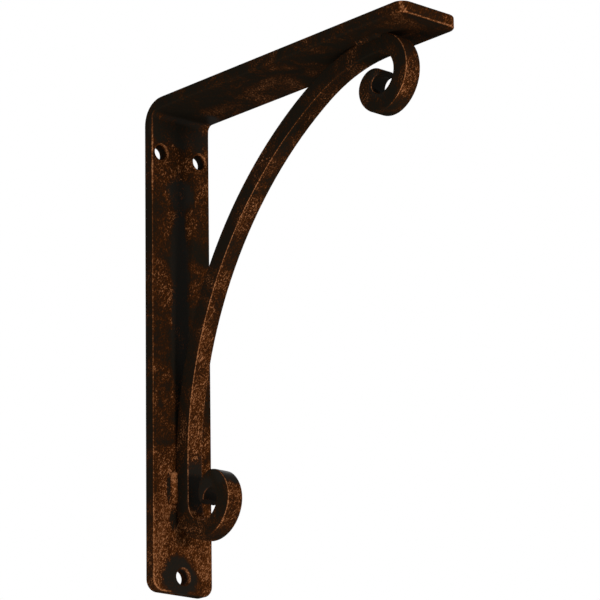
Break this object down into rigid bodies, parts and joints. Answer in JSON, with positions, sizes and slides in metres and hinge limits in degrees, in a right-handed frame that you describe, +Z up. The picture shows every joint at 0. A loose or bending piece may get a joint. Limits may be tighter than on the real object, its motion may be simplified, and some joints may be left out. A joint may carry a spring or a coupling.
{
  "type": "shelf bracket",
  "caption": "Iron shelf bracket: a flat bar bent square, carried by a square bar that sweeps between its legs and curls into a scroll at each end.",
  "frame": {"origin": "on the wall face, midway between the two upper screw holes", "axes": "+Z up, +Y into the wall, +X across the flat bar; the shelf leg reaches out along -Y"},
  "size_m": [0.0382, 0.1905, 0.254],
  "materials": {
    "rubbed_iron": "satin",
    "weld_iron": "satin"
  },
  "bodies": {
    "root": {"mounting_bar": "rubbed_iron", "scroll_brace": "rubbed_iron", "lower_welds": "weld_iron", "upper_welds": "weld_iron"}
  },
  "joints": []
}
